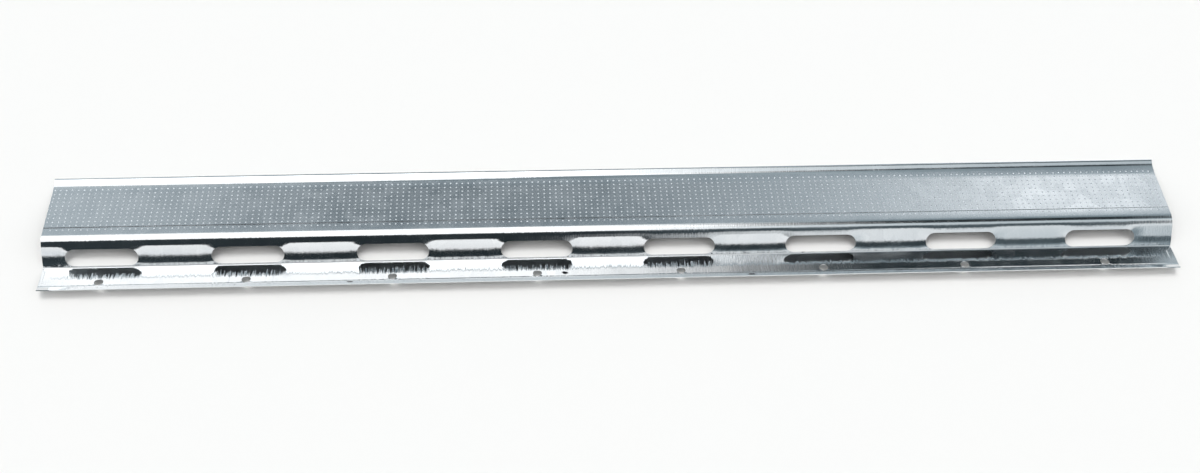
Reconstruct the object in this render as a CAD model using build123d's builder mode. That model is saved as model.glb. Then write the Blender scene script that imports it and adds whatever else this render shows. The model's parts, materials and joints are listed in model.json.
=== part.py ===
# Resilient channel: one length of roll-formed galvanised strip.
# It is drawn with its board face level first: the length runs along X, the mounting flange runs back
# to the web's foot at Z = 0, the slotted web climbs behind it, and the face runs back from its top.
# Then it is laid down as it comes to rest on a floor, with its origin at the bottom centre.
import os
from math import atan2, cos, degrees, radians, sin

from build123d import *

# Strip
sheet_thickness = 0.5
stock_length = 604.0
inner_bend_radius = 1.6
web_top_radius = 4.5

# Section, measured along the underside of the strip
flange_width = 15.6
flange_rise = 3.5
web_run = 7.8
step_height = 13.8
face_width = 37.4
flange_lip_width = 2.7
flange_lip_rise = 11.0
face_lip_width = 6.0
face_lip_rise = 20.0

# Punching, repeated along the length
slot_pitch = 76.2
slot_length = 38.1
slot_height = 9.5
slot_above_foot = 0.5
first_slot_from_end = 31.0
screw_hole_diameter = 4.76
screw_hole_edge = 0.6

# Clearance that lets a cutter pass right through the sheet
punch_travel = 4.0

outer_bend_radius = inner_bend_radius + sheet_thickness

# Section

flange_front = (0.0, flange_width * sin(radians(flange_rise)))
web_foot = (flange_width * cos(radians(flange_rise)), 0.0)
web_top = (web_foot[0] + web_run, step_height)
face_back = (web_top[0] + face_width, step_height)
flange_lip_edge = (
    -flange_lip_width * cos(radians(flange_lip_rise)),
    flange_front[1] + flange_lip_width * sin(radians(flange_lip_rise)),
)
face_lip_edge = (
    face_back[0] + face_lip_width * cos(radians(face_lip_rise)),
    step_height + face_lip_width * sin(radians(face_lip_rise)),
)
fold_corners = [flange_lip_edge, flange_front, web_foot, web_top, face_back, face_lip_edge]
fold_radii = [outer_bend_radius, outer_bend_radius, web_top_radius, outer_bend_radius]

# As many slots as the stock holds; the rest of its length stays plain at the far end
slot_count = 1 + int((stock_length - 2 * first_slot_from_end) // slot_pitch)
first_slot = first_slot_from_end - stock_length / 2
slot_centres = [first_slot + index * slot_pitch for index in range(slot_count)]

web_climb = Vector(0, web_run, step_height).normalized()
slot_middle = Vector(0, *web_foot) + web_climb * (slot_above_foot + slot_height / 2)
web_plane = Plane(origin=slot_middle, x_dir=(1, 0, 0), z_dir=Vector(1, 0, 0).cross(web_climb))
flange_back = Vector(0, web_foot[0], -flange_front[1]).normalized()
flange_plane = Plane(
    origin=Vector(0, *flange_front), x_dir=(1, 0, 0), z_dir=Vector(1, 0, 0).cross(flange_back)
)
screw_hole_back = screw_hole_edge + screw_hole_diameter / 2

with BuildPart() as rolled_strip:
    with BuildSketch(Plane.YZ.offset(-stock_length / 2)):
        with BuildLine():
            underside = FilletPolyline(*fold_corners, radius=fold_radii)
            offset(amount=sheet_thickness, side=Side.LEFT)
        make_face()
    extrude(amount=stock_length)

    # Obround slots through the web
    with BuildSketch(web_plane):
        with Locations(*[(centre, 0) for centre in slot_centres]):
            SlotOverall(slot_length, slot_height)
    extrude(amount=punch_travel, both=True, mode=Mode.SUBTRACT)

    # Screw holes in the mounting flange, one in front of each slot
    with BuildSketch(flange_plane):
        with Locations(*[(centre, screw_hole_back) for centre in slot_centres]):
            Circle(screw_hole_diameter / 2)
    extrude(amount=punch_travel, both=True, mode=Mode.SUBTRACT)

# Laid down. The strip's weight is behind the web foot, so it tips back until the bend at the back
# of the face is on the floor too. Both bends have one radius, so their centres lie level then.
_, web_foot_bend, _, face_back_bend = underside.edges().filter_by(GeomType.CIRCLE).sort_by(Axis.X)
between_bends = face_back_bend.arc_center - web_foot_bend.arc_center
rest_tilt = degrees(atan2(between_bends.Y, between_bends.X))
tipped_box = rolled_strip.part.rotate(Axis.X, -rest_tilt).bounding_box()
at_rest = Location((0, -tipped_box.center().Y, -tipped_box.min.Z), (-rest_tilt, 0, 0))

with BuildPart() as resilient_channel:
    with Locations(at_rest):
        add(rolled_strip.part)

resilient_channel.part.label = "resilient_channel"
os.makedirs("parts", exist_ok=True)
export_step(resilient_channel.part, "parts/resilient_channel.step")

rest_box = resilient_channel.part.bounding_box()
print(f"tips back {rest_tilt:.2f} degrees, box {rest_box.size}")
on_flange = at_rest * flange_plane.location
print("screw hole axis", (on_flange * Pos(first_slot, screw_hole_back, sheet_thickness / 2)).position)
print("flange underside", (on_flange * Pos(first_slot, flange_width / 2, 0)).position)
face_middle = Pos(first_slot, web_top[0] + face_width / 2, step_height + sheet_thickness)
print("face top", (at_rest * face_middle).position)
print("hole axis", Vector(0, 0, 1).rotate(Axis.X, -rest_tilt - flange_rise))
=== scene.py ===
# %% [markdown]
# Resilient channel. A builder screws this thin galvanised strip to studs and screws plasterboard
# to its broad face, so that sound has only a springy path through. The lesson makes it as its
# factory does: a flat strip is punched and knurled, and then rolls bend it along its whole length.

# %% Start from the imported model
import json
from math import atan2, cos, degrees, pi, radians, sin, tan

import bmesh
import bpy
import numpy as np
from mathutils import Matrix, Vector


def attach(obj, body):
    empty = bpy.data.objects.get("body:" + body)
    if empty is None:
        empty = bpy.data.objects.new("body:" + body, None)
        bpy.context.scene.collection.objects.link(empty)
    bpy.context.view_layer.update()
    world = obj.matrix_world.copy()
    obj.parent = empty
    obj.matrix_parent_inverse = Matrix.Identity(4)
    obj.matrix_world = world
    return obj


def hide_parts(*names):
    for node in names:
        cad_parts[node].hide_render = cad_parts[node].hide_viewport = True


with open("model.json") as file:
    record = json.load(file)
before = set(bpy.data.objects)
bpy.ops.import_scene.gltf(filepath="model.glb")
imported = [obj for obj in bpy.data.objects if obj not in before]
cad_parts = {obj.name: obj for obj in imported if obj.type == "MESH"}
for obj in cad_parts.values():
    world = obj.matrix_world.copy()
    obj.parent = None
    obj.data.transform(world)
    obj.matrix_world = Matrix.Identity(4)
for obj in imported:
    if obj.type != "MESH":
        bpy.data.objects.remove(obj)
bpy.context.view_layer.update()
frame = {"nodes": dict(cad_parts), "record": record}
MM = 0.001
print("CAD nodes:", list(frame["nodes"]))

# %% [markdown]
# The camera stands in front of the channel, looks down on it steeply and turns a little to the
# right. A long lens keeps the far end nearly as large as the near one. The picture is very wide,
# so the lens is set for its width.

# %% Camera
CAMERA_PLACE = Vector((-48.63, -388.87, 757.32)) * MM
LOOKS_DOWN, LOOKS_RIGHT, LEANS = radians(63.052), radians(6.030), radians(-4.261)
camera_data = bpy.data.cameras.new("camera")
camera_data.lens = 47.30
camera_data.sensor_width = 36.0
camera_data.clip_start = 0.01
camera = bpy.data.objects.new("camera", camera_data)
camera.matrix_world = (
    Matrix.Translation(CAMERA_PLACE)
    @ Matrix.Rotation(-LOOKS_RIGHT, 4, "Z")
    @ Matrix.Rotation(pi / 2 - LOOKS_DOWN, 4, "X")
    @ Matrix.Rotation(-LEANS, 4, "Z")
)
bpy.context.scene.collection.objects.link(camera)
bpy.context.scene.camera = camera
bpy.context.scene.view_settings.view_transform = "Standard"
print("camera's right side points to", [round(c, 4) for c in camera.matrix_world.col[0][:3]])

# %% [markdown]
# The room and the steel are both made of nodes, so a few helpers keep that readable. One adds a
# node and sets its inputs, and one feeds an input from a number, a colour or another node. The
# others add a sum on numbers, a sum on vectors, a soft step and a mix of two colours.

# %% Node helpers
def add_node(tree, kind, **inputs):
    node = tree.nodes.new(kind)
    for name, value in inputs.items():
        node.inputs[name.replace("_", " ")].default_value = value
    return node


def feed(tree, source, target):
    if isinstance(source, (int, float, tuple)):
        target.default_value = source
    else:
        tree.links.new(source, target)


def work_out(tree, operation, first, *others):
    """One operation, worked through the values from left to right."""
    for other in others or (0.0,):
        node = tree.nodes.new("ShaderNodeMath")
        node.operation = operation
        feed(tree, first, node.inputs[0])
        feed(tree, other, node.inputs[1])
        first = node.outputs[0]
    return first


def vector_work(tree, operation, *values):
    node = tree.nodes.new("ShaderNodeVectorMath")
    node.operation = operation
    for value, socket in zip(values, node.inputs):
        feed(tree, value, socket)
    return node.outputs["Value" if operation == "LENGTH" else "Vector"]


def fade(tree, value, start, end, low=0.0, high=1.0):
    """A soft step from low, where the value is at start, to high, where it is at end."""
    node = add_node(tree, "ShaderNodeMapRange", From_Min=start, From_Max=end, To_Min=low, To_Max=high)
    node.interpolation_type = "SMOOTHSTEP"
    feed(tree, value, node.inputs["Value"])
    return node.outputs["Result"]


def mix(tree, share, first, second, way="MIX"):
    node = tree.nodes.new("ShaderNodeMix")
    node.data_type = "RGBA"
    node.blend_type = way
    feed(tree, share, node.inputs["Factor"])
    feed(tree, first, node.inputs["A"])
    feed(tree, second, node.inputs["B"])
    return node.outputs["Result"]


# %% [markdown]
# Bright metal shows the room more than its own colour. All surfaces of a rolled strip run along
# its length, so each one mirrors one height of the room, and a bend sweeps through many. The
# room is therefore painted by the angle over the strip, from the back wall at 0 degrees through
# the ceiling at 90 to the front at 180, once for each side, and the sides fade into one another.
# Each stop below is an angle and a brightness, and darker stops are tinted a little blue.

# %% The room's colours
ROOM = {
    "left": [
        (0, 0.9), (5, 1.2), (20.5, 1.3), (23, 0.65), (42, 0.6), (47, 1.4), (60, 1.4), (66, 2.0),
        (82, 2.0), (88, 1.4), (103, 1.4), (108, 0.04), (131, 0.04), (134, 1.0), (149, 0.9),
        (153, 0.04), (180, 0.1),
    ],
    "middle": [
        (0, 0.75), (11, 0.75), (14, 1.2), (20.5, 1.3), (23, 0.165), (31, 0.165), (36, 0.27), (44, 0.27),
        (49, 1.4), (60, 1.4), (66, 2.2), (82, 2.2), (88, 1.4), (103, 1.4), (108, 0.03), (131, 0.03),
        (134, 1.1), (149, 1.0), (153, 0.03), (180, 0.05),
    ],
    "right": [
        (0, 0.5), (9, 0.5), (12, 0.02), (17.5, 0.02), (20, 0.06), (22, 0.06), (25, 0.65), (32, 0.65),
        (36, 0.4), (41, 0.5), (43, 0.35), (58, 0.25), (62, 0.03), (85, 0.03), (90, 0.5), (92, 0.7),
        (106, 0.7), (112, 0.1), (119, 0.1), (123, 0.9), (150, 0.9), (153, 0.05), (159, 0.05),
        (162, 0.35), (180, 0.4),
    ],
    "right end": [
        (0, 0.5), (8, 0.5), (10.5, 0.02), (17.5, 0.02), (20, 0.06), (21.5, 0.06), (24.5, 1.75),
        (32, 1.75), (36, 0.45), (41, 0.45), (43, 0.35), (58, 0.25), (62, 0.03), (85, 0.03),
        (90, 0.45), (92, 0.62), (106, 0.62), (112, 0.1), (119, 0.1), (123, 0.8), (150, 0.7),
        (153, 0.1), (159, 0.1), (162, 0.35), (180, 0.4),
    ],
    "far side": [(0, 0.5), (94, 0.5), (100, 1.0), (125, 1.0), (132, 0.3), (180, 0.3)],
}
SHADE_TINT, LIGHT_TINT = (0.72, 0.98, 1.12), (1.0, 1.0, 1.0)


def height_ramp(tree, stops):
    ramp = tree.nodes.new("ShaderNodeValToRGB")
    ramp.color_ramp.interpolation = "EASE"
    while len(ramp.color_ramp.elements) < len(stops):
        ramp.color_ramp.elements.new(1.0)
    for element, (angle, level) in zip(ramp.color_ramp.elements, stops):
        element.position = angle / 180
        share = min(level, 1.0)
        tint = [dark * (1 - share) + light * share for dark, light in zip(SHADE_TINT, LIGHT_TINT)]
        element.color = (*[level * part for part in tint], 1.0)
    return ramp


print("stops on each side of the room:", {side: len(stops) for side, stops in ROOM.items()})

# %% [markdown]
# A direction's height is its angle over the strip, as a share of the half turn from back to
# front. How far it points sideways says which side of the room it meets. The far side is met
# both far to the left and far to the right.

# %% Painting the room
SIDE_FADES = {
    "middle": (-0.32, -0.08), "right": (0.0, 0.22), "right end": (0.22, 0.32), "far side": (0.36, 0.44),
}
world = bpy.data.worlds.new("studio")
bpy.context.scene.world = world
world.use_nodes = True
sky = world.node_tree
sky.nodes.clear()
direction = sky.nodes.new("ShaderNodeSeparateXYZ")
feed(sky, sky.nodes.new("ShaderNodeTexCoord").outputs["Generated"], direction.inputs[0])
sideways, backward, upward = direction.outputs
either_side = work_out(sky, "ABSOLUTE", sideways)
height = work_out(sky, "DIVIDE", work_out(sky, "ARCTAN2", upward, backward), pi)
walls = {}
for side, stops in ROOM.items():
    ramp = height_ramp(sky, stops)
    feed(sky, height, ramp.inputs[0])
    walls[side] = ramp.outputs[0]
painted = walls["left"]
for side, (start, end) in SIDE_FADES.items():
    reached = fade(sky, either_side if side == "far side" else sideways, start, end)
    painted = mix(sky, reached, painted, walls[side])
print("room's sides fade at", SIDE_FADES)

# %% [markdown]
# A soft key lamp hangs over the strip, weaker ones fill from both sides, and a dim patch shades
# the front, so that the paper is evenly white and the shadow on it is soft. Lamps are left out
# for light that a glossy surface reflects, so the broad face never mirrors the glare of the key.

# %% Lamps
# Each lamp: brightness, middle and half width towards either side, and the angles of its edges
LAMPS = {
    "key": (10.5, 0.0, 0.20, 71, 92),
    "side fill": (2.5, 0.70, 0.32, 98, 128),
    "front shade": (0.2, 0.0, 1.1, 126, 182),
}
SIDE_SOFT, ANGLE_SOFT = 0.03, 2
light_path = sky.nodes.new("ShaderNodeLightPath")
not_mirrored = work_out(sky, "SUBTRACT", 1.0, light_path.outputs["Is Glossy Ray"])
for level, middle, half_width, low_edge, high_edge in LAMPS.values():
    from_middle = work_out(sky, "ABSOLUTE", work_out(sky, "SUBTRACT", either_side, middle))
    lit = work_out(
        sky, "MULTIPLY", not_mirrored,
        fade(sky, from_middle, half_width + SIDE_SOFT, half_width - SIDE_SOFT),
        fade(sky, height, (low_edge - ANGLE_SOFT) / 180, (low_edge + ANGLE_SOFT) / 180),
        fade(sky, height, (high_edge + ANGLE_SOFT) / 180, (high_edge - ANGLE_SOFT) / 180),
    )
    painted = mix(sky, lit, painted, (level, level, level, 1.0))
background = add_node(sky, "ShaderNodeBackground", Strength=1.0)
feed(sky, painted, background.inputs["Color"])
feed(sky, background.outputs[0], sky.nodes.new("ShaderNodeOutputWorld").inputs["Surface"])
print("lamps:", ", ".join(LAMPS))

# %% [markdown]
# The channel lies on plain white paper, large enough to reach the horizon from any side. It is
# the only other thing in the scene.

# %% Floor
FLOOR_HALF = 8.0
floor_mesh = bpy.data.meshes.new("floor")
sheet = bmesh.new()
bmesh.ops.create_grid(sheet, x_segments=4, y_segments=4, size=FLOOR_HALF)
sheet.to_mesh(floor_mesh)
sheet.free()
floor = bpy.data.objects.new("floor", floor_mesh)
bpy.context.scene.collection.objects.link(floor)
paper = bpy.data.materials.new("white_paper")
paper.use_nodes = True
paper_shader = paper.node_tree.nodes["Principled BSDF"]
paper_shader.inputs["Base Color"].default_value = (0.81, 0.80, 0.785, 1.0)
paper_shader.inputs["Roughness"].default_value = 0.9
paper_shader.inputs["Specular IOR Level"].default_value = 0.1
floor_mesh.materials.append(paper)
print("floor:", 2 * FLOOR_HALF, "m wide")

# %% [markdown]
# The sizes are the ones the solid was built from, in millimetres, but the back lip is a fifth of
# a millimetre shorter, to stay in the solid's box. The rolls turn the strip at four bends. A bend
# doesn't stretch the middle of the sheet, so the flat strip is as wide as its straight runs and
# the middle lines of its bends together.

# %% Sizes
SHEET = 0.5
LENGTH = 604.0
TIGHT_BEND, WIDE_BEND = 1.6, 4.5
FLANGE, FLANGE_RISE = 15.6, 3.5
WEB_RUN, STEP, FACE = 7.8, 13.8, 37.4
FRONT_LIP, FRONT_RISE = 2.7, 11.0
BACK_LIP, BACK_RISE = 5.8, 20.0
PITCH, SLOT_COUNT, FIRST_SLOT = 76.2, 8, 31.0
SLOT_LONG, SLOT_HIGH, SLOT_FOOT = 38.1, 9.5, 0.5
HOLE, HOLE_EDGE = 4.76, 0.6
WEB_ANGLE = degrees(atan2(STEP, WEB_RUN))
WEB = (WEB_RUN**2 + STEP**2) ** 0.5


def bend_sizes(turn, inner, outside_below):
    """What a bend takes from the runs beside it, and its length on the sheet's middle line."""
    under = inner + SHEET if outside_below else inner
    return under * tan(radians(turn) / 2), (inner + SHEET / 2) * radians(turn)


front_cut, front_bend = bend_sizes(FRONT_RISE - FLANGE_RISE, TIGHT_BEND, True)
foot_cut, foot_bend = bend_sizes(WEB_ANGLE + FLANGE_RISE, TIGHT_BEND, True)
top_cut, top_bend = bend_sizes(WEB_ANGLE, WIDE_BEND, False)
back_cut, back_bend = bend_sizes(BACK_RISE, TIGHT_BEND, True)
bend_marks = np.cumsum([
    FRONT_LIP - front_cut, front_bend, FLANGE - front_cut - foot_cut, foot_bend,
    WEB - foot_cut - top_cut, top_bend, FACE - top_cut - back_cut, back_bend, BACK_LIP - back_cut,
])
LIP_END, FLANGE_START, FLANGE_END, WEB_START, WEB_END, FACE_START, FACE_END = bend_marks[:7]
STRIP_WIDE = bend_marks[-1]
print("flat strip:", round(float(STRIP_WIDE), 2), "mm wide, web stands at", round(WEB_ANGLE, 2), "degrees")

# %% [markdown]
# The flat strip is one grid. Its columns are an eighth of an inch wide, the pitch of the knurl,
# and a slot is twelve of them long, so punching and knurling both fall on grid lines. The knurl
# has eleven rows of dots, and the first is set apart from the others by a crease.

# %% Lines of the grid
COLUMN = PITCH / 24
KNURL_ROWS, KNURL_ROW = 11, 2.95
CREASE, CREASE_HALF, CREASE_CELL = 5.02, 0.36, 2.5
crease_at = FACE_START + CREASE
behind_crease = crease_at + CREASE_HALF + CREASE_CELL
knurl_lines = [
    crease_at - CREASE_HALF - CREASE_CELL, crease_at - CREASE_HALF, crease_at + CREASE_HALF,
    *[behind_crease + row * KNURL_ROW for row in range(KNURL_ROWS - 1)],
]
# A slot starts below the web, this many radians round the foot's bend
SLOT_INTO_BEND = 0.253
slot_low = WEB_START - (TIGHT_BEND + SHEET / 2) * SLOT_INTO_BEND
slot_high = WEB_START + SLOT_FOOT + SLOT_HIGH - foot_cut
slot_middle = (slot_low + slot_high) / 2
hole_middle = FLANGE_START - front_cut + HOLE_EDGE + HOLE / 2
slot_centres = [-LENGTH / 2 + FIRST_SLOT + index * PITCH for index in range(SLOT_COUNT)]
print("slots from", round(slot_low, 2), "to", round(slot_high, 2), "mm from the front edge")

# %% [markdown]
# The rows are close together only where the rolls bend the strip sharply, and beside a punched
# edge. The grid is made by one operator on a unit square, and then each point goes to its line.

# %% Flat strip
BELOW_SLOT, ABOVE_SLOT, BEHIND_HOLE = 0.27, 0.85, 3.2
COLUMNS_BEFORE_SLOT = 10


def between(low, high, count):
    """Evenly spaced lines from low to high, the ends among them."""
    return [low + (high - low) * step / count for step in range(count + 1)]


def beside(line, *steps):
    return [line + step for step in steps]


rows = sorted(set(round(float(line), 4) for line in [
    *beside(0.0, 0.0, 0.3, 1.3), *beside(LIP_END, -0.3, 0.0), *beside(FLANGE_START, 0.0, 0.35, 0.8),
    *beside(hole_middle, -1.2, 0.0, 1.2, 2.2, BEHIND_HOLE), *beside(FLANGE_START, 7.2, 9.2, 11.2),
    *beside(FLANGE_END, -1.0, -0.3), *between(FLANGE_END, slot_low - BELOW_SLOT, 3), slot_low,
    *between(WEB_START, slot_high - 0.8, 5), *beside(WEB_START, 0.4), *beside(slot_high, ABOVE_SLOT, 1.7),
    *beside(WEB_END, -1.5, -0.7), *between(WEB_END, FACE_START, 12), *beside(FACE_START, 0.4),
    *knurl_lines, crease_at, *beside(FACE_END, 1.1, 1.5, 2.0, 2.45, 2.75),
    *beside(STRIP_WIDE, -2.4, -1.2, -0.9, -0.75, 0.0),
]))
column_count = int(LENGTH / COLUMN) + 2
grid_left = -LENGTH / 2 + FIRST_SLOT - COLUMNS_BEFORE_SLOT * COLUMN
strip = bmesh.new()
burnished = strip.faces.layers.float.new("burnished")
bmesh.ops.create_grid(strip, x_segments=column_count, y_segments=len(rows) - 1, size=0.5)
for vertex in strip.verts:
    column = round((vertex.co.x + 0.5) * column_count)
    row = round((vertex.co.y + 0.5) * (len(rows) - 1))
    vertex.co = (grid_left + column * COLUMN, rows[row], 0.0)
print("flat strip:", column_count, "columns by", len(rows) - 1, "rows")

# %% [markdown]
# A press punches slots and screw holes. Here the faces inside a block of the grid are deleted,
# the block's edge is extruded inwards, and the new edge is moved onto the outline of the punch.
# It is then divided once more and moved again, which makes the curve twice as fine.

# %% The punches' outlines
SLOT_RADIUS = SLOT_HIGH / 2
SLOT_STRAIGHT = SLOT_LONG / 2 - SLOT_RADIUS
# Half a slot is six columns long, and its block one column more
SLOT_BLOCK_HALF = 7 * COLUMN


def row_at(line):
    return min(rows, key=lambda row: abs(row - line))


slot_block = (row_at(slot_low - BELOW_SLOT), row_at(slot_high + ABOVE_SLOT))
hole_block = (row_at(FLANGE_START), row_at(hole_middle + BEHIND_HOLE))


def slot_end(centre, across, up):
    """The point of the slot's round end nearest to one that is across and up from the slot's middle."""
    side = SLOT_STRAIGHT if across > 0 else -SLOT_STRAIGHT
    spoke = Vector((across - side, up)).normalized() * SLOT_RADIUS
    return Vector((centre + side + spoke.x, slot_middle + spoke.y, 0.0))


def onto_slot(place, centre):
    """Moves a point of the block's edge onto the obround outline."""
    low, high = slot_block
    across = (place.x - centre) * (SLOT_LONG / 2) / SLOT_BLOCK_HALF
    up = (2 * (place.y - low) / (high - low) - 1) * SLOT_RADIUS
    if abs(across) > SLOT_STRAIGHT:
        return slot_end(centre, across, up)
    return Vector((centre + across, slot_middle + (SLOT_RADIUS if up > 0 else -SLOT_RADIUS), 0.0))


def round_slot(place, centre):
    """Moves a point that halves an edge of the outline out onto the round end."""
    across = place.x - centre
    return place if abs(across) <= SLOT_STRAIGHT else slot_end(centre, across, place.y - slot_middle)


def onto_hole(place, centre):
    spoke = Vector((place.x - centre, place.y - hole_middle)).normalized() * HOLE / 2
    return Vector((centre + spoke.x, hole_middle + spoke.y, 0.0))


print("slot block:", slot_block, "hole block:", hole_block)

# %% Punching
def made_of(kind, items):
    return [item for item in items if isinstance(item, kind)]


def punch(centre, half_width, block, outline, round_again):
    low, high = block
    inside = []
    for face in strip.faces:
        middle = face.calc_center_median()
        if abs(middle.x - centre) < half_width and low < middle.y < high:
            inside.append(face)
    rim = [
        edge for face in inside for edge in face.edges
        if any(other not in inside for other in edge.link_faces)
    ]
    bmesh.ops.delete(strip, geom=inside, context="FACES")
    made = bmesh.ops.extrude_edge_only(strip, edges=rim)["geom"]
    verts = made_of(bmesh.types.BMVert, made)
    for vertex in verts:
        vertex.co = outline(vertex.co, centre)
    edges = made_of(bmesh.types.BMEdge, made)
    edges = [edge for edge in edges if edge.verts[0] in verts and edge.verts[1] in verts]
    halved = bmesh.ops.subdivide_edges(strip, edges=edges, cuts=1)["geom_inner"]
    for vertex in made_of(bmesh.types.BMVert, halved):
        vertex.co = round_again(vertex.co, centre)


for centre in slot_centres:
    punch(centre, SLOT_BLOCK_HALF, slot_block, onto_slot, round_slot)
    punch(centre, COLUMN, hole_block, onto_hole, onto_hole)
print("punched:", len(slot_centres), "slots and as many holes")

# %% [markdown]
# The strip is cut to length with a plane at each end, and gets its thickness while it is still
# flat, so that both skins and every cut edge are made in one step.

# %% Cutting and thickness
for end, side in ((-LENGTH / 2, 1), (LENGTH / 2, -1)):
    everything = strip.verts[:] + strip.edges[:] + strip.faces[:]
    bmesh.ops.bisect_plane(
        strip, geom=everything, dist=1e-5, plane_co=(end, 0, 0), plane_no=(-side, 0, 0), clear_outer=True
    )
bmesh.ops.recalc_face_normals(strip, faces=strip.faces[:])
if sum(face.normal.z for face in strip.faces) < 0:
    bmesh.ops.reverse_faces(strip, faces=strip.faces[:])
bmesh.ops.solidify(strip, geom=strip.faces[:], thickness=SHEET)
levels = [vertex.co.z for vertex in strip.verts]
sheet_top = max(levels)
print("sheet between", round(min(levels), 3), "and", round(sheet_top, 3), "mm, faces:", len(strip.faces))

# %% [markdown]
# One roll presses a fine crease along the board face, behind the first row of dots. Both skins
# go down with it, so the row of points on its line is lowered right through the sheet.

# %% Crease
CREASE_DEEP, ON_LINE = 0.34, 0.01
on_crease = [vertex for vertex in strip.verts if abs(vertex.co.y - crease_at) < ON_LINE]
for vertex in on_crease:
    vertex.co.z -= CREASE_DEEP
print("crease:", len(on_crease), "points lowered")

# %% [markdown]
# Knurling rolls press small dots into the board face, so that a screw's point doesn't wander.
# Each cell of the grid is inset, its inner square is rounded to an octagon, and a smaller octagon
# inside that is raised. An attribute marks the dots for the material. The back of the sheet gets
# a shallow hollow behind each dot.

# %% Knurl
DOT_MARGIN, DOT_RADIUS, DOT_STEP, DOT_HIGH = 1.1, 0.52, 0.26, 0.09
HOLLOW_DEEP = 0.06
LEAST_CELL = 0.9 * COLUMN * CREASE_CELL
LIES_FLAT = 0.9


def cells(top):
    """The knurled band's grid cells on one skin, without those that the cut ends left too small."""
    chosen = []
    for face in strip.faces:
        centre = face.calc_center_median()
        on_skin = abs(face.normal.z) > LIES_FLAT and (centre.z > sheet_top - SHEET / 2) == top
        if on_skin and knurl_lines[0] < centre.y < knurl_lines[-1] and face.calc_area() > LEAST_CELL:
            chosen.append(face)
    return chosen


dots = cells(True)
bmesh.ops.inset_individual(strip, faces=dots, thickness=DOT_MARGIN, use_even_offset=True)
square_edges = [edge for face in dots for edge in face.edges]
bmesh.ops.subdivide_edges(strip, edges=square_edges, cuts=1)
for face in dots:
    centre = face.calc_center_median()
    for vertex in face.verts:
        vertex.co = centre + (vertex.co - centre).normalized() * DOT_RADIUS
dot_bases = {edge for face in dots for edge in face.edges}
bmesh.ops.inset_individual(strip, faces=dots, thickness=DOT_STEP, depth=DOT_HIGH, use_even_offset=True)
for face in dots:
    for part in [face, *(other for edge in face.edges for other in edge.link_faces)]:
        part[burnished] = 1.0
hollows = cells(False)
bmesh.ops.inset_individual(strip, faces=hollows, thickness=DOT_MARGIN, use_even_offset=True)
for face in hollows:
    for vertex in face.verts:
        vertex.co.z += HOLLOW_DEEP
print("dots:", len(dots), "hollows behind:", len(hollows))

# %% [markdown]
# Now the rolls. Real sheet isn't perfect: the flange and the web wave a little, the web's top
# sags over each slot, the cut ends spring, and the back lip stands steeper and starts later
# towards the right. So the angle at which the sheet runs changes along the length too.

# %% Unevenness
END_REACH, WEB_END_REACH = 24, 14
SAG_FROM, SAG_FADE = 3.0, 5.0
# Each wave: size in degrees, length in millimetres and shift in radians
FLANGE_WAVES = ((0.12, 97, 1.0), (0.08, 41, 2.0), (0.05, 23, 0.4))
WEB_WAVES = ((0.25, 130, 0.3), (0.15, 53, 2.1))
# Places along the length in millimetres, and the value at each
LIP_RISES = ([-302, -250, -150, 0, 150, 302], [19.2, 20, 25, 33, 32, 30])
CURLS = ([-302, 100, 200, 302], [5, 5, 8, 8.5])
EARLY_LIP = ([-200, -20], [1.0, 0.0])


def over_slots(x):
    """1 over the middle of a slot, 0 between slots, and soft at the slot's ends."""
    nearest = np.min(np.abs(x[:, None] - np.array(slot_centres)[None, :]), axis=1)
    share = 1 - np.clip((nearest - SLOT_LONG / 2 + SAG_FROM) / SAG_FADE, 0, 1)
    return share * share * (3 - 2 * share)


def ripple(x, waves):
    return sum(size * np.sin(2 * pi * x / wave + shift) for size, wave, shift in waves)


def near_end(from_end, reach):
    return np.clip(1 - from_end / reach, 0, 1)


print("sag over the first slot and at the left end:", over_slots(np.array([slot_centres[0], -LENGTH / 2])))

# %% [markdown]
# The section is a row of turning points: how far each lies from the front edge, and the angle of
# the sheet there, for every place along the length. The solid's angles are the start, and small
# changes to them follow the real piece's soft hollows and sharp turns.

# %% Section
# The face runs level from this far behind the bend at the web's top
SETTLE = 4.0


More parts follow.
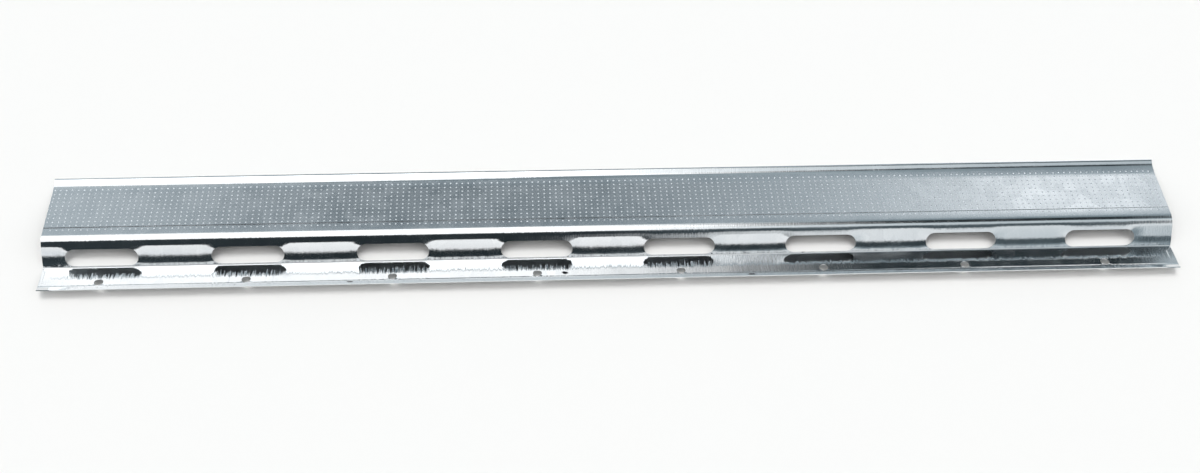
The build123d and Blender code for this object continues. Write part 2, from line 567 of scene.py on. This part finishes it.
def sheet_angles(x):
    """For each place along the length, the sheet's angle at the turning points of the section."""
    left = near_end(x + LENGTH / 2, END_REACH) ** 2
    right = near_end(LENGTH / 2 - x, END_REACH) ** 2
    slot = over_slots(x)
    level = np.zeros_like(x)
    front = FRONT_RISE + 9 * (left + right)
    flange = -FLANGE_RISE - 2.6 + ripple(x, FLANGE_WAVES) + 1.6 * left + 2.2 * right
    web = WEB_ANGLE + ripple(x, WEB_WAVES) - 8.0 * near_end(x + LENGTH / 2, WEB_END_REACH)
    curl = np.interp(x, *CURLS)
    lip = np.interp(x, *LIP_RISES)
    early = np.interp(x, *EARLY_LIP)
    front_and_flange = [
        (0.0, -front), (LIP_END, -front), (FLANGE_START + 0.1, flange + 5.0),
        (FLANGE_START + 0.8, flange - 0.5), (FLANGE_START + 4, flange), (FLANGE_START + 8, flange - 1.3),
        (FLANGE_END - 1.6, flange - 1.3), (FLANGE_END, flange + 2.0),
    ]
    foot_and_web = [
        (FLANGE_END + 1.1, web + 6.5), (WEB_START, web + 6.5), (WEB_START + 5.4, web - 0.5),
        (slot_high + 0.6, web - 5.5 - 11.0 * slot), (WEB_END - 1.5, web - 9.7 - 7.0 * slot),
        (FACE_START - 3.7, level + 40.0),
    ]
    board_face = [
        (FACE_START, level + 4.0), (FACE_START + 1.8, level + 3.2), (FACE_START + SETTLE, level + 0.3),
        (FACE_END - 3.4, level + 0.3), (FACE_END - 2.4, curl), (FACE_END + 0.9, curl + 0.5),
    ]
    back_lip = [
        (FACE_END + 2.0, lip * 0.95 * early + (curl + 2) * (1 - early)),
        (FACE_END + 2.45, lip * early + (curl + 3) * (1 - early)), (FACE_END + 2.75, lip),
        (STRIP_WIDE - 0.9, lip * 1.15), (STRIP_WIDE - 0.75, level + 1.0), (STRIP_WIDE, level + 1.0),
    ]
    return front_and_flange + foot_and_web + board_face + back_lip


print("turning points of the section:", len(sheet_angles(np.array([0.0]))))

# %% [markdown]
# Adding up small steps along those angles walks round the section. The web is then leaned until
# the face starts where the solid's does, so that the small changes don't add up across the face.

# %% Walking round the section
WALK_STEP = 0.04


def section(x):
    """The middle line of the sheet at each place x: distances, places across and up, and angles."""
    s = np.arange(0, STRIP_WIDE + WALK_STEP, WALK_STEP)
    table = sheet_angles(x)
    stops = np.array([stop for stop, _ in table])
    values = np.stack([value for _, value in table])
    index = np.clip(np.searchsorted(stops, s, side="right") - 1, 0, len(stops) - 2)
    share = np.clip((s - stops[index]) / (stops[index + 1] - stops[index]), 0, 1)[:, None]
    angle = np.radians(values[index] * (1 - share) + values[index + 1] * share)
    middle = (angle[1:] + angle[:-1]) / 2
    across = np.vstack([np.zeros_like(x), np.cumsum(np.cos(middle) * WALK_STEP, axis=0)])
    up = np.vstack([np.zeros_like(x), np.cumsum(np.sin(middle) * WALK_STEP, axis=0)])
    foot = np.searchsorted(s, FLANGE_END)
    return s, across - across[foot], up - up[foot], angle


def held_in_place(s, walked, true_place):
    """Leans the web so that the face starts where it should, whatever the web does in between."""
    start = np.searchsorted(s, FACE_START + SETTLE)
    share = np.clip((s - WEB_START) / (WEB_END - WEB_START), 0, 1)[:, None]
    return walked - share * (walked[start] - true_place)


places = np.array([vertex.co[:] for vertex in strip.verts])
columns, column_of = np.unique(np.round(places[:, 0], 3), return_inverse=True)
s, across, up, angle = section(columns)
flange_tilt = radians(FLANGE_RISE)
face_back = foot_cut * cos(flange_tilt) - SHEET / 2 * sin(flange_tilt) + WEB_RUN + top_cut
face_up = STEP + SHEET / 2 - foot_cut * sin(flange_tilt) - SHEET / 2 * cos(flange_tilt)
across = held_in_place(s, across, face_back + SETTLE)
up = held_in_place(s, up, face_up)
print("section:", len(s), "steps at", len(columns), "places along the length")

# %% [markdown]
# Each point of the flat strip now finds its place on the walk, and stands off the sheet's middle
# line by as much as it lay above or below the middle of the flat sheet.

# %% Rolling
position = places[:, 1] / (s[1] - s[0])
low = np.clip(position.astype(int), 0, len(s) - 2)
share = position - low
height_off = places[:, 2] - (sheet_top - SHEET / 2)


def pick(values):
    return values[low, column_of] * (1 - share) + values[low + 1, column_of] * share


sheet_angle = pick(angle)
level_back = pick(across) - np.sin(sheet_angle) * height_off
level_up = pick(up) + np.cos(sheet_angle) * height_off
print("rolled:", len(places), "points, section", round(float(np.ptp(level_up)), 2), "mm high while level")

# %% [markdown]
# The channel comes off the rolls level and tips back until its back bend touches the floor. The
# record says where the board face is and which way it points, and that lays the piece down.

# %% Laying down
board_face = next(mount for mount in frame["record"]["mounts"] if mount["name"] == "board_face")
REST_TILT = atan2(board_face["axis"][1], board_face["axis"][2])
from_face_back = level_back - (face_back - top_cut + FACE / 2)
from_face_up = level_up - (face_up + SHEET / 2)
rest_back = from_face_back * cos(REST_TILT) + from_face_up * sin(REST_TILT) + board_face["pos_m"][1] / MM
rest_up = -from_face_back * sin(REST_TILT) + from_face_up * cos(REST_TILT) + board_face["pos_m"][2] / MM
for vertex, x, back, high in zip(strip.verts, places[:, 0], rest_back, rest_up):
    vertex.co = (x * MM, back * MM, high * MM)
for name, values in (("y", rest_back), ("z", rest_up)):
    print(name, "from", round(values.min(), 3), "to", round(values.max(), 3), "mm")

# %% [markdown]
# Rolled sheet is smooth along its bends and sharp where a punch or a shear cut it. So all faces
# are shaded smooth, and an edge stays sharp where the sheet turns by more than 40 degrees at it
# or where a dot stands on the face.

# %% One piece
SHARP_EDGE = radians(40)
channel_mesh = bpy.data.meshes.new("rolled_channel")
bmesh.ops.recalc_face_normals(strip, faces=strip.faces[:])
for face in strip.faces:
    face.smooth = True
for edge in strip.edges:
    edge.smooth = edge not in dot_bases and edge.calc_face_angle(0) < SHARP_EDGE
strip.to_mesh(channel_mesh)
strip.free()
channel = bpy.data.objects.new("rolled_channel", channel_mesh)
bpy.context.scene.collection.objects.link(channel)
channel_mesh.calc_loop_triangles()
print("triangles:", len(channel_mesh.loop_triangles))

# %% [markdown]
# Hot-dip galvanising leaves zinc crystals, the spangle, which differ slightly in tone and gloss.
# One metal material reads the place on the channel, so that the knurled face can be duller than
# the flange and the web, which the rolls polish. Its patterns are crystals and several noises.

# %% Galvanised steel
steel = bpy.data.materials.new("galvanised_steel")
steel.use_nodes = True
tree = steel.node_tree
shader = tree.nodes["Principled BSDF"]
shader.inputs["Metallic"].default_value = 1.0
place = tree.nodes.new("ShaderNodeTexCoord").outputs["Object"]
axes = tree.nodes.new("ShaderNodeSeparateXYZ")
feed(tree, place, axes.inputs[0])
along_strip, across_strip, _ = axes.outputs


def noise(scale, detail, stretch=(1, 1, 1)):
    mapping = add_node(tree, "ShaderNodeMapping", Scale=stretch)
    feed(tree, place, mapping.inputs["Vector"])
    node = add_node(tree, "ShaderNodeTexNoise", Scale=scale, Detail=detail)
    feed(tree, mapping.outputs[0], node.inputs["Vector"])
    return node.outputs["Fac"]


spangle = add_node(tree, "ShaderNodeTexVoronoi", Scale=170.0)
feed(tree, place, spangle.inputs["Vector"])
crystal = tree.nodes.new("ShaderNodeSeparateXYZ")
feed(tree, spangle.outputs["Color"], crystal.inputs[0])
grain = noise(900.0, 4.0)
FACE_FRONT, FACE_REAR = (-4.8, -4.0), (29.8, 29.3)
face_zone = work_out(
    tree, "MULTIPLY",
    fade(tree, across_strip, *[line * MM for line in FACE_FRONT]),
    fade(tree, across_strip, *[line * MM for line in FACE_REAR]),
)
print("board face from", FACE_FRONT[0], "to", FACE_REAR[0], "mm across the strip")

# %% [markdown]
# The sample has been handled: a few small dark flecks of dirt lie on the flange, the front lip
# and a slot's rim. Each is an oval with a ragged edge, placed in the material because it has no
# thickness of its own.

# %% Flecks
# Each fleck: its place in x and y, its half length and half width in millimetres, and its turn
FLECKS = [
    (-27.9, -29.6, 1.5, 0.9, -20), (100.6, -17.6, 1.0, 0.8, 60),
    (71.2, -33.4, 2.0, 0.5, 0), (-140.5, -33.0, 1.6, 0.4, 0),
]
RAGGED, FLECK_RIM = 1.2, (1.9, 1.3)


def fleck(x, y, long, wide, turn):
    """1 inside a small oval at x, y on the channel, 0 outside, with a ragged edge."""
    mapping = add_node(
        tree, "ShaderNodeMapping",
        Location=(x * MM, y * MM, 0), Rotation=(0, 0, radians(turn)), Scale=(long * MM, wide * MM, 1),
    )
    mapping.vector_type = "TEXTURE"
    feed(tree, place, mapping.inputs["Vector"])
    reach = vector_work(tree, "LENGTH", vector_work(tree, "MULTIPLY", mapping.outputs[0], (1, 1, 0)))
    ragged = work_out(tree, "ADD", reach, work_out(tree, "MULTIPLY", grain, RAGGED))
    return fade(tree, ragged, *FLECK_RIM)


dirt = 0.0
for oval in FLECKS:
    dirt = work_out(tree, "MAXIMUM", fleck(*oval), dirt)
print("flecks:", len(FLECKS))

# %% [markdown]
# Colour first. Zinc is a pale bluish grey, and each crystal and the fine grain shift it a little.
# The face is somewhat darker, and the flecks are nearly black.

# %% Colour
DARK_ZINC, PALE_ZINC = (0.74, 0.77, 0.79, 1.0), (0.82, 0.845, 0.86, 1.0)
FACE_TINT, DIRT = (0.84, 0.86, 0.88, 1.0), (0.03, 0.03, 0.035, 1.0)
shift = work_out(
    tree, "ADD", work_out(tree, "MULTIPLY", crystal.outputs[0], 0.5), work_out(tree, "MULTIPLY", grain, 0.5)
)
zinc = mix(tree, shift, DARK_ZINC, PALE_ZINC)
zinc = mix(tree, face_zone, zinc, FACE_TINT, "MULTIPLY")
feed(tree, mix(tree, dirt, zinc, DIRT), shader.inputs["Base Color"])
print("zinc from", DARK_ZINC[:3], "to", PALE_ZINC[:3])

# %% [markdown]
# Then the gloss. The polished parts are nearly a mirror, with cloudy patches a few centimetres
# across. The face, the dots and the dirt are each rougher by a fixed amount.

# %% Gloss
FACE_DULLER, DOT_DULLER, DIRT_DULLER = 0.145, 0.2, 0.4
dot_mask = tree.nodes.new("ShaderNodeAttribute")
dot_mask.attribute_name = "burnished"
roughness = work_out(
    tree, "ADD",
    work_out(tree, "MULTIPLY", face_zone, FACE_DULLER),
    fade(tree, crystal.outputs[1], 0.0, 1.0, 0.055, 0.085),
    fade(tree, noise(28.0, 3.0), 0.35, 0.65, 0.0, 0.03),
    work_out(tree, "MULTIPLY", dot_mask.outputs["Fac"], DOT_DULLER),
    work_out(tree, "MULTIPLY", dirt, DIRT_DULLER),
)
feed(tree, roughness, shader.inputs["Roughness"])
print("the face is rougher than the flange by", FACE_DULLER)

# %% [markdown]
# Last, the marks of the rolls. They are fine lines across the strip, like a comb's, that tilt
# the surface round the strip's length. They are strong on the rear of the flange, strongest in
# line with the slots except towards the right end, and faint elsewhere.

# %% How deep the comb marks are
FRONT_COMBING, COMBING = 0.02, 0.2
WEB_SHARE, SLOT_SHARE, FACE_SHARE = 0.12, 3.0, 0.2
from_first_slot = work_out(tree, "ADD", along_strip, (LENGTH / 2 - FIRST_SLOT + PITCH / 2) * MM)
in_pitch = work_out(tree, "MODULO", from_first_slot, PITCH * MM)
from_slot = work_out(tree, "ABSOLUTE", work_out(tree, "SUBTRACT", in_pitch, PITCH / 2 * MM))
beside_slot = work_out(
    tree, "MULTIPLY",
    fade(tree, from_slot, SLOT_LONG / 2 * MM, (SLOT_LONG / 2 - 2) * MM),
    fade(tree, along_strip, 120 * MM, 40 * MM),
)
comb_depth = work_out(
    tree, "MULTIPLY",
    fade(tree, across_strip, -28.5 * MM, -25.5 * MM, FRONT_COMBING, COMBING),
    fade(tree, across_strip, -18.2 * MM, -17.2 * MM, 1.0, WEB_SHARE),
    fade(tree, beside_slot, 0.0, 1.0, 1.0, SLOT_SHARE),
    fade(tree, face_zone, 0.0, 1.0, 1.0, FACE_SHARE),
)
print("comb marks give the flange's rear a slope of up to about", COMBING / 2)

# %% [markdown]
# The tilt is added to the surface's own direction, and two faint bumps, one across the strip and
# one of the fine grain, come on top of it.

# %% Marks of the rolls
BUMP_HIGH = 0.000012
combing = noise(1.0, 2.0, (1200, 45, 45))
marks_across = noise(1.0, 3.0, (1700, 90, 90))
true_normal = tree.nodes.new("ShaderNodeNewGeometry").outputs["Normal"]
round_strip = vector_work(tree, "CROSS_PRODUCT", (1, 0, 0), true_normal)
tilt = work_out(tree, "MULTIPLY", work_out(tree, "SUBTRACT", combing, 0.5), comb_depth)
combed = vector_work(tree, "MULTIPLY_ADD", round_strip, tilt, true_normal)
surface = vector_work(tree, "NORMALIZE", combed)
for height_map in (marks_across, grain):
    bump = add_node(tree, "ShaderNodeBump", Strength=1.0, Distance=BUMP_HIGH)
    feed(tree, surface, bump.inputs["Normal"])
    feed(tree, height_map, bump.inputs["Height"])
    surface = bump.outputs[0]
feed(tree, surface, shader.inputs["Normal"])
channel_mesh.materials.append(steel)
print("steel nodes:", len(tree.nodes))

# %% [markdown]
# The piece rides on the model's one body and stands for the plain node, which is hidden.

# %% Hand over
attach(channel, "root")
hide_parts("resilient_channel")
